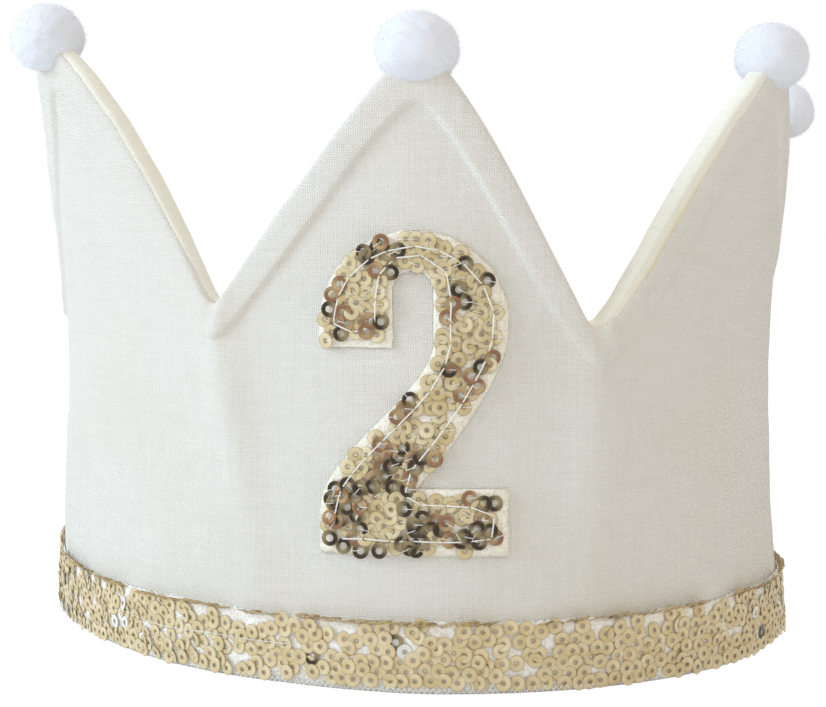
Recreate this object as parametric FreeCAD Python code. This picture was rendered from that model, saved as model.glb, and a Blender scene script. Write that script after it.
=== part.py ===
import FreeCAD, Part
import math
import os

# Fabric birthday crown: a padded cloth ring with five sewn points, open at the back and closed there
# by a flat elastic. A white pom-pom sits on each point, a band of sequins on net runs round the lower
# edge, and a sequinned figure 2 is stitched to the front.
# All lengths are millimetres. The wearer faces -Y, +X is to the right of someone who looks at the
# front, and +Z is up.

# Ring as seen from above: a slightly oval loop, measured to the middle of the cloth
ring_radius = 80.3
ring_oval = 5.2
oval_turn = 44.0

# Points: one pattern piece repeated, then set a little unevenly by the hand sewing
point_pitch = 76.0
point_names = ["back_left", "left", "front", "right", "back_right"]
tip_shifts = [0.0, 0.0, 0.8, 1.7, -1.1]
tip_heights = [119.0, 126.2, 120.4, 126.5, 117.3]
tip_blunts = [4.2, 6.2, 6.4, 8.7, 4.2]
tip_blunting_inside = 1.5
tip_sharpening = 0.45
tip_blend = 5.0
valley_shifts = [0.0, 0.0, -0.6, -5.5, 0.0, 0.0]
valley_heights = [52.0, 70.0, 69.3, 65.7, 70.0, 52.0]
valley_rounding = 0.9
edge_bows_left = [0.0, -1.0, 1.0, 1.4, 0.0]
edge_bows_right = [0.0, 6.0, 3.4, -3.0, 0.0]
bow_form = 6.75

# How far each point leans out at its tip, and how far the wall is drawn in below it
tip_leans = [6.0, 10.4, 0.8, 2.9, 20.8]
wall_waists = [1.0, 0.4, 0.1, 3.0, 5.0]
lean_start = 66.0
lean_end = 120.0

# Folds below the four inner valleys: how far each stands out, or in, at its valley and at the foot
# of the wall, and how wide it is
fold_reliefs = [-2.0, 1.2, 1.2, -2.5]
foot_reliefs = [-0.7, 0.0, 0.0, -2.9]
fold_widths = [14.0, 7.0, 7.0, 14.0]

# Cloth layers, from the wadding outwards
wadding_thickness = 2.0
shell_cloth = 0.7
lining_cloth = 0.6
layer_gap = 0.15
border_width = 5.8
border_relief = 0.45
lining_relief = 0.2
border_slope = 3.0
border_crown = 0.55
edge_rounding = 0.92
turned_edge = 3.0
wadding_inset = 2.0
wadding_lift = 1.2

# Sequin band on net
band_height = 13.5
band_lift = 0.3
band_net = 0.5
sequin_diameter = 3.0
sequin_thickness = 0.2
band_sequin_rows = 3
band_sequin_pitch = 3.8

# Figure 2
number_width = 33.8
number_height = 58.5
number_rise = 25.3
number_stroke = 13.3
number_top_stroke = 7.1
number_bar = 12.2
number_hook = 4.0
number_slot_rise = 1.0
number_knee = 1.32
number_heel = 0.65
number_knee_pull = (5.0, 6.2)
number_belly_pull = 9.0
number_slot_pull = 8.0
number_heel_pull = 10.0
number_margin = 4.0
number_felt = 0.8
number_sequin_pitch = 3.7
number_sequin_inset = 1.2
stitch_inset = 2.7
stitch_length = 2.8
stitch_space = 0.9
thread_width = 0.35

# Pom-poms
pompom_diameter = 14.4
pompom_lift = 0.3
pompom_clearance = 0.3

# Elastic at the back
elastic_width = 25.0
elastic_thickness = 1.6
elastic_rise = 8.0
elastic_tuck = 12.0
elastic_flatness = 8.0
elastic_edge = 1.0
elastic_steps = 12
wadding_to_elastic = 2.0

# Derived places through the cloth, as distances from its middle, outwards positive
wadding_face = wadding_thickness / 2
shell_inside = wadding_face + layer_gap
shell_face = shell_inside + shell_cloth
lining_inside = -wadding_face - layer_gap
lining_face = lining_inside - lining_cloth
band_face = shell_face + layer_gap + band_net
felt_face = shell_face + layer_gap + number_felt
valley_columns = (1.3, 3.5)
tip_columns = (2.0, 5.0)
wall_shares = (0.0, 0.1, 0.24, 0.38, 0.51, 0.63, 0.74, 0.83, 0.92, 1.0)
point_count = len(point_names)
tip_arcs = [(i - (point_count - 1) / 2) * point_pitch + tip_shifts[i] for i in range(point_count)]
valley_arcs = [(i - point_count / 2) * point_pitch + valley_shifts[i] for i in range(point_count + 1)]
panel_start = valley_arcs[0]
panel_end = valley_arcs[-1]


def ring_at(turn):
    """Distance of the ring's middle from its axis, at a turn in radians from the front."""
    return ring_radius + ring_oval * math.cos(2 * (turn - math.radians(oval_turn)))


def arc_table(sign, steps=1500):
    """Turns and the arc lengths that they reach, from the front round to the back."""
    turns = [sign * math.pi * i / steps for i in range(steps + 1)]
    spots = [(ring_at(t) * math.sin(t), ring_at(t) * math.cos(t)) for t in turns]
    arcs = [0.0]
    for before, after in zip(spots, spots[1:]):
        arcs.append(arcs[-1] + math.dist(before, after))
    return turns, arcs


arc_tables = {1: arc_table(1), -1: arc_table(-1)}


def turn_at(arc):
    """Turn from the front, in radians, at an arc length along the ring."""
    turns, arcs = arc_tables[1 if arc >= 0 else -1]
    low = 0
    high = len(arcs) - 1
    while high - low > 1:
        middle = (low + high) // 2
        if arcs[middle] <= abs(arc):
            low = middle
        else:
            high = middle
    share = (abs(arc) - arcs[low]) / (arcs[high] - arcs[low])
    return turns[low] + share * (turns[high] - turns[low])


def between_tips(arc, values):
    """A value that is given at each tip, blended smoothly round the ring."""
    if arc <= tip_arcs[0]:
        return values[0]
    for i in range(point_count - 1):
        if arc <= tip_arcs[i + 1]:
            share = (arc - tip_arcs[i]) / (tip_arcs[i + 1] - tip_arcs[i])
            weight = (1 - math.cos(math.pi * share)) / 2
            return values[i] * (1 - weight) + values[i + 1] * weight
    return values[-1]


def wall_shift(arc, height):
    """How far the wall stands out from the ring's line: lean, waist and the fold below a valley."""
    reach = max(height - lean_start, 0.0) / (lean_end - lean_start)
    shift = between_tips(arc, tip_leans) * reach**2
    shift -= between_tips(arc, wall_waists) * math.sin(math.pi * min(height / lean_end, 1.0))
    rise = math.sin(math.pi / 2 * min(height / lean_start, 1.0)) ** 2
    for valley, relief, foot, width in zip(valley_arcs[1:-1], fold_reliefs, foot_reliefs, fold_widths):
        depth = relief * rise + foot * (1 - rise)
        shift += depth * math.exp(-(((arc - valley) / width) ** 2))
    return shift


def side_of_point(index, side, reach, depth):
    """Height of one side of a point, at a distance from its tip and a depth in from its edge."""
    valley = index + (1 if side > 0 else 0)
    length = abs(valley_arcs[valley] - tip_arcs[index])
    slope = (tip_heights[index] - valley_heights[valley]) / length
    steep = math.hypot(1.0, slope)
    bow = (edge_bows_right if side > 0 else edge_bows_left)[index]
    tip_width = max(tip_blunts[index] - tip_sharpening * depth, tip_blunting_inside) / slope
    valley_width = valley_rounding + depth * (steep - 1) / slope
    along = max(length - math.hypot(reach, tip_width), 0.0)
    rise = slope * math.hypot(along, valley_width)
    share = along / length
    bow *= bow_form * share ** 2 * (1 - share)
    return valley_heights[valley] + rise + bow, steep


def edge_height(arc, depth=0.0):
    """Height of the zigzag edge, or of the line that runs a depth inside it."""
    index = 0
    while index < point_count - 1 and arc > valley_arcs[index + 1]:
        index += 1
    reach = arc - tip_arcs[index]
    near = math.exp(-((reach / tip_blend) ** 2)) / 2
    right, right_steep = side_of_point(index, 1, abs(reach), depth)
    left, left_steep = side_of_point(index, -1, abs(reach), depth)
    share = 1 - near if reach > 0 else near
    if abs(reach) < 1e-6:
        share = 0.5
    return (right - depth * right_steep) * share + (left - depth * left_steep) * (1 - share)


def place(arc, height, out=0.0):
    """Point in space for a place on the flat pattern, pushed out from the middle of the cloth."""
    turn = turn_at(arc)
    reach = ring_at(turn) + wall_shift(arc, height) + out
    return FreeCAD.Vector(reach * math.sin(turn), -reach * math.cos(turn), height)


def frame_at(arc, height, out=0.0):
    """Place on the cloth with its directions: along the ring, up the wall and outwards."""
    step = 0.5
    along = place(arc + step, height, out) - place(arc - step, height, out)
    up = place(arc, height + step, out) - place(arc, height - step, out)
    along.normalize()
    up.normalize()
    outward = along.cross(up)
    outward.normalize()
    return place(arc, height, out), along, outward.cross(along), outward


def spread(start, end, count):
    """Evenly spaced values strictly between two ends."""
    return [start + (end - start) * (i + 1) / (count + 1) for i in range(count)]


def panel_columns():
    """Arc lengths of the surface's control columns, closest together at tips and valleys."""
    columns = []
    for i in range(point_count):
        tip = tip_arcs[i]
        low = valley_arcs[i]
        high = valley_arcs[i + 1]
        near_valley, far_valley = valley_columns
        near_tip, far_tip = tip_columns
        columns += [low, low + near_valley, low + far_valley]
        columns += spread(low + far_valley, tip - far_tip, 3)
        columns += [tip - far_tip, tip - near_tip, tip, tip + near_tip, tip + far_tip]
        columns += spread(tip + far_tip, high - far_valley, 3)
        columns += [high - far_valley, high - near_valley]
    return columns + [panel_end]


def knots_for(count, degree=3):
    """Evenly spaced clamped knots and their multiplicities."""
    spans = count - degree
    knots = [i / spans for i in range(spans + 1)]
    mults = [degree + 1] + [1] * (spans - 1) + [degree + 1]
    return mults, knots


def smooth_face(rows_of_columns):
    """A cubic surface from its control points, one list for each column."""
    u_mults, u_knots = knots_for(len(rows_of_columns))
    v_mults, v_knots = knots_for(len(rows_of_columns[0]))
    surface = Part.BSplineSurface()
    surface.buildFromPolesMultsKnots(
        rows_of_columns, u_mults, v_mults, u_knots, v_knots, False, False, 3, 3
    )
    return surface


def cloth_solid(columns, rows_at, point_at=place):
    """A solid whose section at each column runs up one side, over the top and down the other."""
    poles = [[point_at(arc, height, out) for height, out in rows_at(arc)] for arc in columns]
    surface = smooth_face(poles)
    first, last = surface.uIso(0.0), surface.uIso(1.0)
    outer, inner = surface.vIso(0.0), surface.vIso(1.0)
    ends = []
    closing = []
    for curve in (first, last):
        line = Part.LineSegment(curve.value(0.0), curve.value(1.0)).toShape()
        closing.append(line)
        ends.append(Part.Face(Part.Wire([curve.toShape(), line])))
    bottom_wire = Part.Wire(
        Part.__sortEdges__([outer.toShape(), closing[0], inner.toShape(), closing[1]])
    )
    shell = Part.Shell([surface.toShape(), ends[0], ends[1], Part.Face(bottom_wire)])
    shell.sewShape()
    solid = Part.Solid(shell)
    if solid.Volume < 0:
        solid.reverse()
    return solid


def wall_rows(arc, out):
    """Rows of one plain face of the wall, from the ground up to below the raised border."""
    top = edge_height(arc, border_width + border_slope)
    return [(top * share, out) for share in wall_shares]


def turned_rows(arc, inside, face, relief, middle):
    """Section of a cloth: its face, the raised border, the turned edge and its hidden back."""
    raised = face + math.copysign(relief, face)
    rows = wall_rows(arc, face)
    rows.append((edge_height(arc, border_width + border_slope / 2), face))
    rows.append((edge_height(arc, border_width), raised))
    rows += [(edge_height(arc, depth), raised) for depth in (border_width * border_crown, turned_edge / 3)]
    rows.append((edge_height(arc), raised * edge_rounding))
    rows.append((edge_height(arc), middle))
    rows.append((edge_height(arc, turned_edge / 2), middle))
    rows.append((edge_height(arc, turned_edge), middle))
    rows.append((edge_height(arc, turned_edge + border_relief), inside))
    rows.append((edge_height(arc, border_width), inside))
    return rows + wall_rows(arc, inside)[::-1]


def shell_rows(arc):
    return turned_rows(arc, shell_inside, shell_face, border_relief, layer_gap / 2)


def lining_rows(arc):
    return turned_rows(arc, lining_inside, lining_face, lining_relief, -layer_gap / 2)


def wadding_rows(arc):
    top = edge_height(arc, turned_edge + wadding_inset)
    front = [(max(height, wadding_lift), wadding_face) for height, out in wall_rows(arc, 0.0)]
    front.append((top, wadding_face))
    back = [(height, -wadding_face) for height, out in reversed(front)]
    return front + back


def band_rows(arc):
    inner = shell_face + layer_gap
    heights = [band_lift] + spread(band_lift, band_height, 2) + [band_height]
    front = [(height, band_face) for height in heights]
    back = [(height, inner) for height in reversed(heights)]
    return front + back


def wadding_solid():
    reach = elastic_tuck + wadding_to_elastic
    inner = [c for c in panel_columns() if panel_start + reach + 1 < c < panel_end - reach - 1]
    columns = [panel_start + reach] + inner + [panel_end - reach]
    return cloth_solid(columns, wadding_rows)


def elastic_place(station, height, out):
    """Point on the elastic: tucked along the panel's ends, then flatter across the back."""
    if station < 0:
        return place(panel_end + station, height, out)
    if station > 1:
        return place(panel_start + (station - 1), height, out)
    start = turn_at(panel_end)
    end = turn_at(panel_start) + 2 * math.pi
    turn = start + (end - start) * station
    shift = wall_shift(panel_end, height) * (1 - station) + wall_shift(panel_start, height) * station
    reach = ring_at(turn) + shift - elastic_flatness * math.sin(math.pi * station) + out
    return FreeCAD.Vector(reach * math.sin(turn), -reach * math.cos(turn), height)


def elastic_solid():
    half = elastic_thickness / 2
    tuck = [-elastic_tuck] + spread(-elastic_tuck, 0.0, 2)
    across = [i / elastic_steps for i in range(elastic_steps + 1)]
    stations = tuck + across + [1 - t for t in reversed(tuck)]
    top = elastic_rise + elastic_width

    def rows(station):
        heights = (elastic_rise, elastic_rise + elastic_edge, top - elastic_edge, top)
        return [(h, half) for h in heights] + [(h, -half) for h in reversed(heights)]

    return cloth_solid(stations, rows, elastic_place)


def disc_at(arc, height, out, diameter, thickness, sides=6):
    """A small flat disc that lies on the cloth."""
    centre, along, up, outward = frame_at(arc, height, out)
    corners = []
    for i in range(sides + 1):
        angle = 2 * math.pi * (i % sides) / sides
        across = along * (diameter / 2 * math.cos(angle))
        corners.append(centre + across + up * (diameter / 2 * math.sin(angle)))
    return Part.Face(Part.makePolygon(corners)).extrude(outward * thickness)


def bar_between(start, end, outward, width):
    """A square bar that runs from one point to another, as a stitch of thread does."""
    run = end - start
    side = run.cross(outward)
    side.normalize()
    lift = side.cross(run)
    lift.normalize()
    lift = lift * (1 if lift.dot(outward) > 0 else -1)
    first = start - side * (width / 2)
    corners = [first, first + side * width, first + side * width + lift * width, first + lift * width]
    return Part.Face(Part.makePolygon(corners + [first])).extrude(run)


def band_sequins():
    """Rows of discs along the band, each row set half a disc along from the last."""
    discs = []
    row_gap = (band_height - band_lift) / band_sequin_rows
    count = int((panel_end - panel_start - sequin_diameter) / band_sequin_pitch)
    for row in range(band_sequin_rows):
        height = band_lift + row_gap * (row + 0.5)
        start = panel_start + sequin_diameter * 0.6 + (row % 2) * band_sequin_pitch / 2
        for i in range(count):
            arc = start + i * band_sequin_pitch
            out = band_face + layer_gap
            discs.append(disc_at(arc, height, out, sequin_diameter, sequin_thickness))
    return Part.makeCompound(discs)


def number_outline():
    """Outline of the figure 2, flat in the X-Z plane."""
    half = number_width / 2
    foot = number_rise
    crown = foot + number_height
    middle = crown - half
    slot = half - number_stroke
    slot_top = crown - number_top_stroke
    hook = middle - number_hook
    knee = -half + number_stroke * number_knee

    def spot(x, z):
        return FreeCAD.Vector(x, 0.0, z)

    def line(a, b):
        return Part.LineSegment(spot(*a), spot(*b)).toShape()

    def arc(a, b, c):
        return Part.Arc(spot(*a), spot(*b), spot(*c)).toShape()

    def curve(*spots):
        bezier = Part.BezierCurve()
        bezier.setPoles([spot(*s) for s in spots])
        return bezier.toShape()

    slot_end = (slot, hook + number_slot_rise)
    heel = (-half, foot + number_bar * number_heel)
    corner = (knee, foot + number_bar)
    knee_pole = (knee + number_knee_pull[0], foot + number_bar + number_knee_pull[1])
    heel_pole = (-half, heel[1] + number_heel_pull)
    edges = [
        line((-half, foot), (half, foot)),
        line((half, foot), (half, foot + number_bar)),
        line((half, foot + number_bar), corner),
        curve(corner, knee_pole, (half, middle - number_belly_pull), (half, middle)),
        arc((half, middle), (0.0, crown), (-half, middle)),
        line((-half, middle), (-half, hook)),
        line((-half, hook), (-slot, hook)),
        line((-slot, hook), (-slot, slot_top - slot)),
        arc((-slot, slot_top - slot), (0.0, slot_top), (slot, slot_top - slot)),
        line((slot, slot_top - slot), slot_end),
        curve(slot_end, (slot, hook - number_slot_pull), heel_pole, heel),
        line(heel, (-half, foot)),
    ]
    return Part.Wire(edges)


def front_columns():
    return [c for c in panel_columns() if valley_arcs[2] <= c <= valley_arcs[3]]


def number_patch():
    """The felt figure: a slab that follows the front of the crown, trimmed to the outline."""
    inner = shell_face + layer_gap
    low = number_rise - number_margin
    high = number_rise + number_height + number_margin

    def rows(arc):
        heights = [low] + spread(low, high, 4) + [high]
        return [(h, felt_face) for h in heights] + [(h, inner) for h in reversed(heights)]

    slab = cloth_solid(front_columns(), rows)
    outline = Part.Face(number_outline())
    outline.translate(FreeCAD.Vector(0, -2 * ring_radius, 0))
    prism = outline.extrude(FreeCAD.Vector(0, 2 * ring_radius, 0))
    return slab.common(prism).Solids[0]


def number_sequins():
    """Discs in staggered rows over the figure, kept back from its edge."""
    outline = number_outline()
    face = Part.Face(outline)
    row_step = number_sequin_pitch * math.sqrt(3) / 2
    reach = sequin_diameter / 2 + number_sequin_inset
    discs = []
    for row in range(int(number_height / row_step)):
        height = number_rise + reach + row * row_step
        shift = number_sequin_pitch / 2 * (row % 2)
        for i in range(int(number_width / number_sequin_pitch) + 1):
            across = -number_width / 2 + reach + shift + i * number_sequin_pitch
            spot = FreeCAD.Vector(across, 0, height)
            inside = face.isInside(spot, 0.01, True)
            if inside and Part.Vertex(spot).distToShape(outline)[0] >= sequin_diameter / 2:
                out = felt_face + layer_gap
                discs.append(disc_at(across, height, out, sequin_diameter, sequin_thickness))
    return Part.makeCompound(discs)


def number_stitching():
    """Long straight stitches that follow the figure's outline, just inside it."""
    out = felt_face + 2 * layer_gap + sequin_thickness
    path = number_outline().makeOffset2D(-stitch_inset)
    pitch = stitch_length + stitch_space
    count = int(path.Length / pitch)
    spots = path.discretize(Number=count * 4 + 1)
    stitches = []
    for i in range(count):
        a = spots[4 * i]
        b = spots[4 * i + 3]
        start = place(a.x, a.z, out)
        end = place(b.x, b.z, out)
        if (end - start).Length > stitch_space:
            outward = frame_at((a.x + b.x) / 2, (a.z + b.z) / 2, out)[3]
            stitches.append(bar_between(start, end, outward, thread_width))
    return Part.makeCompound(stitches)


def tip_room(index):
    """The space that a point's tip needs inside its pom-pom, with clearance all round."""
    tip = tip_arcs[index]
    columns = [c for c in panel_columns() if abs(c - tip) < pompom_diameter]
    front = shell_face + border_relief + pompom_clearance
    back = lining_face - lining_relief - pompom_clearance
    slope_middle = border_width + border_slope / 2
    depths = (slope_middle, border_width, border_width * border_crown, turned_edge / 3)
    low = edge_height(tip) - 2 * pompom_diameter

    def rows(arc):
        heights = [low] + [height for height, out in wall_rows(arc, front)[-3:]]
        heights += [edge_height(arc, depth) for depth in depths]
        heights.append(edge_height(arc) + pompom_clearance)
        faces = [(h, front) for h in heights] + [(heights[-1], 0.0)]
        return faces + [(h, back) for h in reversed(heights)]

    return cloth_solid(columns, rows)


def pompom(index):
    """A soft ball that is sewn down over the tip of its point."""
    arc = tip_arcs[index]
    centre, along, up, outward = frame_at(arc, edge_height(arc) + pompom_lift)
    ball = Part.makeSphere(pompom_diameter / 2, centre, up)
    return ball.cut(tip_room(index)).Solids[0]


def elastic_stitching():
    """A row of stitches through each end of the panel, which holds the elastic."""
    pitch = stitch_length + stitch_space
    stitches = []
    for arc in (panel_start + elastic_tuck / 2, panel_end - elastic_tuck / 2):
        for i in range(int(elastic_width / pitch)):
            height = elastic_rise + stitch_space + i * pitch
            if height < band_height:
                continue
            start = place(arc, height, shell_face + layer_gap)
            end = place(arc, height + stitch_length, shell_face + layer_gap)
            outward = frame_at(arc, height)[3]
            stitches.append(bar_between(start, end, outward, thread_width))
    return Part.makeCompound(stitches)


def all_parts():
    columns = panel_columns()
    parts = {
        "outer_shell": cloth_solid(columns, shell_rows),
        "lining": cloth_solid(columns, lining_rows),
        "interlining": wadding_solid(),
        "sequin_band": cloth_solid(columns, band_rows),
        "band_sequins": band_sequins(),
        "number_patch": number_patch(),
        "number_sequins": number_sequins(),
        "number_stitching": number_stitching(),
        "back_elastic": elastic_solid(),
        "elastic_stitching": elastic_stitching(),
    }
    for index, name in enumerate(point_names):
        parts["pompom_" + name] = pompom(index)
    return parts


def centred(parts):
    """Move all parts so that the origin is under the middle of the whole crown."""
    box = FreeCAD.BoundBox()
    for shape in parts.values():
        box.add(shape.BoundBox)
    shift = FreeCAD.Vector(-box.Center.x, -box.Center.y, -box.ZMin)
    for shape in parts.values():
        shape.translate(shift)
    return shift


os.makedirs("parts", exist_ok=True)
parts = all_parts()
shift = centred(parts)
for name, shape in parts.items():
    shape.exportStep("parts/" + name + ".step")
    print(name, len(shape.Solids), "valid", shape.isValid(), "volume", round(shape.Volume, 1))
print("moved by", [round(v, 3) for v in shift])
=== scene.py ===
# %% [markdown]
# # A sewn birthday crown
# This lesson dresses a imported CAD model of a child's cloth crown. The CAD model gives every
# size and place; here each piece gets the shape of its cloth, its threads and its finish.
# The frame is loaded first.

# %% Load the frame
import math

import bmesh
import bpy
import numpy as np
from mathutils import Matrix, Vector


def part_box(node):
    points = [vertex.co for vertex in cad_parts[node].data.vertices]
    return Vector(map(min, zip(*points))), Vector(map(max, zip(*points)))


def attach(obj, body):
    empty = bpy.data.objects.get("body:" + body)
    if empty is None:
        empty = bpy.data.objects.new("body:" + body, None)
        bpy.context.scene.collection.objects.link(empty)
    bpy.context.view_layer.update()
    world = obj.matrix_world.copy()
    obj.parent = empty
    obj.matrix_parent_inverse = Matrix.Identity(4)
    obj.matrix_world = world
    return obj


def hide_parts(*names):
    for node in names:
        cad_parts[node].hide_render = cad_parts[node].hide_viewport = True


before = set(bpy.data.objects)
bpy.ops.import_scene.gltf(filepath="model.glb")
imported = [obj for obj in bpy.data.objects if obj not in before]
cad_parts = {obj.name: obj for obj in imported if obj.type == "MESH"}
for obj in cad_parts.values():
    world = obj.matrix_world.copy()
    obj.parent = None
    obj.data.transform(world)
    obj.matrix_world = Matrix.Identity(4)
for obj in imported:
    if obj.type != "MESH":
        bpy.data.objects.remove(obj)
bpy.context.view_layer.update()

MM = 0.001
print("nodes:", sorted(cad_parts))

# %% [markdown]
# ## The flat pattern
# A crown like this is cut flat and then bent into a ring. So every place on it has two easy
# numbers, how far along the ring and how high, and a third for how far out through the cloth.
# One could model each point of the crown in space, but then each layer would have to be
# fitted to the next. With one flat pattern and one function that bends it, the linen, the
# lining, the sequins and the stitches all follow the same wall.

# %% The ring and its points, in millimetres
RING_RADIUS = 80.3
RING_OVAL = 5.2
OVAL_TURN = math.radians(44.0)
POINT_PITCH = 76.0
POINTS = ["back_left", "left", "front", "right", "back_right"]
TIPS = (np.arange(5) - 2.0) * POINT_PITCH + np.array([0.0, 0.0, 0.8, 1.7, -1.1])
VALLEYS = (np.arange(6) - 2.5) * POINT_PITCH + np.array([0.0, 0.0, -0.6, -5.5, 0.0, 0.0])
TIP_HEIGHTS = np.array([119.0, 126.2, 120.4, 126.5, 117.3])
TIP_BLUNTS = np.array([4.2, 6.2, 6.4, 8.7, 4.2])
VALLEY_HEIGHTS = np.array([52.0, 70.0, 69.3, 65.7, 70.0, 52.0])
BOWS_LEFT = np.array([0.0, -1.0, 1.0, 1.4, 0.0])
BOWS_RIGHT = np.array([0.0, 6.0, 3.4, -3.0, 0.0])
BOW_FORM = 6.75
TIP_LEANS = np.array([6.0, 10.4, 0.8, 2.9, 20.8])
WALL_WAISTS = np.array([1.0, 0.4, 0.1, 3.0, 5.0])
LEAN_START, LEAN_END = 66.0, 120.0
FOLD_RELIEFS, FOOT_RELIEFS = (-2.0, 1.2, 1.2, -2.5), (-0.7, 0.0, 0.0, -2.9)
FOLD_WIDTHS = (14.0, 7.0, 7.0, 14.0)
PANEL_START, PANEL_END = VALLEYS[0], VALLEYS[-1]

ring_turns = np.linspace(0.0, math.pi, 1501)


def ring_at(turn):
    """Distance of the ring's middle from its axis, at a turn from the front."""
    return RING_RADIUS + RING_OVAL * np.cos(2 * (turn - OVAL_TURN))


def arcs_reached(sign):
    """Arc lengths from the front to each of the turns, one way round."""
    reach = ring_at(sign * ring_turns)
    spots = np.stack([reach * np.sin(ring_turns), reach * np.cos(ring_turns)], axis=1)
    steps = np.linalg.norm(np.diff(spots, axis=0), axis=1)
    return np.concatenate([[0.0], np.cumsum(steps)])


arcs_right, arcs_left = arcs_reached(1), arcs_reached(-1)
print("ring round:", round(arcs_right[-1] + arcs_left[-1], 1), "mm")

# %% Bend the flat pattern into the ring


def turn_at(arc):
    """Turn from the front at an arc length along the ring."""
    right = np.interp(arc, arcs_right, ring_turns)
    left = -np.interp(-arc, arcs_left, ring_turns)
    return np.where(arc >= 0, right, left)


def between_tips(arc, values):
    """A value given at each tip, blended smoothly round the ring."""
    step = np.interp(arc, TIPS, np.arange(5.0))
    low = np.minimum(step.astype(int), 3)
    weight = (1 - np.cos(math.pi * (step - low))) / 2
    return values[low] * (1 - weight) + values[low + 1] * weight


def wall_shift(arc, height):
    """How far the wall stands out from the ring's line: lean, waist and folds."""
    reach = np.maximum(height - LEAN_START, 0.0) / (LEAN_END - LEAN_START)
    shift = between_tips(arc, TIP_LEANS) * reach**2
    shift = shift - between_tips(arc, WALL_WAISTS) * np.sin(
        math.pi * np.minimum(height / LEAN_END, 1.0)
    )
    rise = np.sin(math.pi / 2 * np.clip(height / LEAN_START, 0.0, 1.0)) ** 2
    for valley, relief, foot, width in zip(VALLEYS[1:-1], FOLD_RELIEFS, FOOT_RELIEFS, FOLD_WIDTHS):
        depth = relief * rise + foot * (1 - rise)
        shift = shift + depth * np.exp(-(((arc - valley) / width) ** 2))
    return shift


def bent(arc, height, out):
    """Points in space, round the ring's own axis, in millimetres."""
    arc, height, out = np.broadcast_arrays(
        np.asarray(arc, float), np.asarray(height, float), np.asarray(out, float)
    )
    turn = turn_at(arc)
    reach = ring_at(turn) + wall_shift(arc, height) + out
    return np.stack([reach * np.sin(turn), -reach * np.cos(turn), height], axis=-1)


# %% [markdown]
# The ring's axis isn't at the origin of the frame, because the CAD model is centred by its
# box. The band of net is a plain strip, so the place of its box tells where the axis is.

# %% Find the ring's axis in the frame
BAND_FACE, BAND_HEIGHT = 2.5, 13.5
band_low, band_high = (np.array(c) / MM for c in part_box("sequin_band"))
band_edge = bent(np.linspace(PANEL_START, PANEL_END, 800)[:, None], [0.3, BAND_HEIGHT], BAND_FACE)
own_low, own_high = band_edge.min(axis=(0, 1)), band_edge.max(axis=(0, 1))
AXIS = np.array([*((band_low + band_high - own_low - own_high) / 2)[:2], 0.0])
print("ring axis at", AXIS.round(2), "mm")


def place(arc, height, out=0.0):
    """Points in the row frame, in metres, for places on the flat pattern."""
    return (bent(arc, height, out) + AXIS) * MM


def frames_at(arc, height, out=0.0):
    """Places with their directions: along the ring, up the wall and outwards."""
    step = 0.5
    along = place(arc + step, height, out) - place(arc - step, height, out)
    up = place(arc, height + step, out) - place(arc, height - step, out)
    along /= np.linalg.norm(along, axis=-1, keepdims=True)
    outward = np.cross(along, up)
    outward /= np.linalg.norm(outward, axis=-1, keepdims=True)
    return place(arc, height, out), along, np.cross(outward, along), outward


# %% The zigzag edge
VALLEY_ROUNDING, TIP_BLEND = 0.9, 5.0
TIP_SHARPENING, BLUNT_INSIDE = 0.45, 1.5


def side_of_point(index, side, reach, depth):
    """Height of one side of a point, at a reach from its tip and a depth from its edge."""
    valley = index + (1 if side > 0 else 0)
    length = np.abs(VALLEYS[valley] - TIPS[index])
    slope = (TIP_HEIGHTS[index] - VALLEY_HEIGHTS[valley]) / length
    steep = np.hypot(1.0, slope)
    bow = (BOWS_RIGHT if side > 0 else BOWS_LEFT)[index]
    tip_width = np.maximum(TIP_BLUNTS[index] - TIP_SHARPENING * depth, BLUNT_INSIDE) / slope
    valley_width = VALLEY_ROUNDING + depth * (steep - 1) / slope
    along = np.maximum(length - np.hypot(reach, tip_width), 0.0)
    rise = slope * np.hypot(along, valley_width)
    share = along / length
    bow = bow * BOW_FORM * share**2 * (1 - share)
    return VALLEY_HEIGHTS[valley] + rise + bow - depth * steep


def edge_height(arc, depth=0.0):
    """Height of the zigzag edge, or of the line that runs a depth inside it."""
    index = np.searchsorted(VALLEYS[1:-1], arc, side="left")
    reach = arc - TIPS[index]
    near = np.exp(-((reach / TIP_BLEND) ** 2)) / 2
    share = np.where(reach > 0, 1 - near, near)
    share = np.where(np.abs(reach) < 1e-6, 0.5, share)
    right = side_of_point(index, 1, np.abs(reach), depth)
    left = side_of_point(index, -1, np.abs(reach), depth)
    return right * share + left * (1 - share)


def control_columns():
    """Arc lengths of the cloth's control columns, closest at tips and valleys."""
    columns = []
    for i, tip in enumerate(TIPS):
        low, high = VALLEYS[i], VALLEYS[i + 1]
        columns += [low, low + 1.3, *np.linspace(low + 3.5, tip - 5.0, 5)]
        columns += [tip - 2.0, tip, tip + 2.0, *np.linspace(tip + 5.0, high - 3.5, 5)]
        columns += [high - 1.3]
    return np.array(columns + [PANEL_END])


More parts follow.
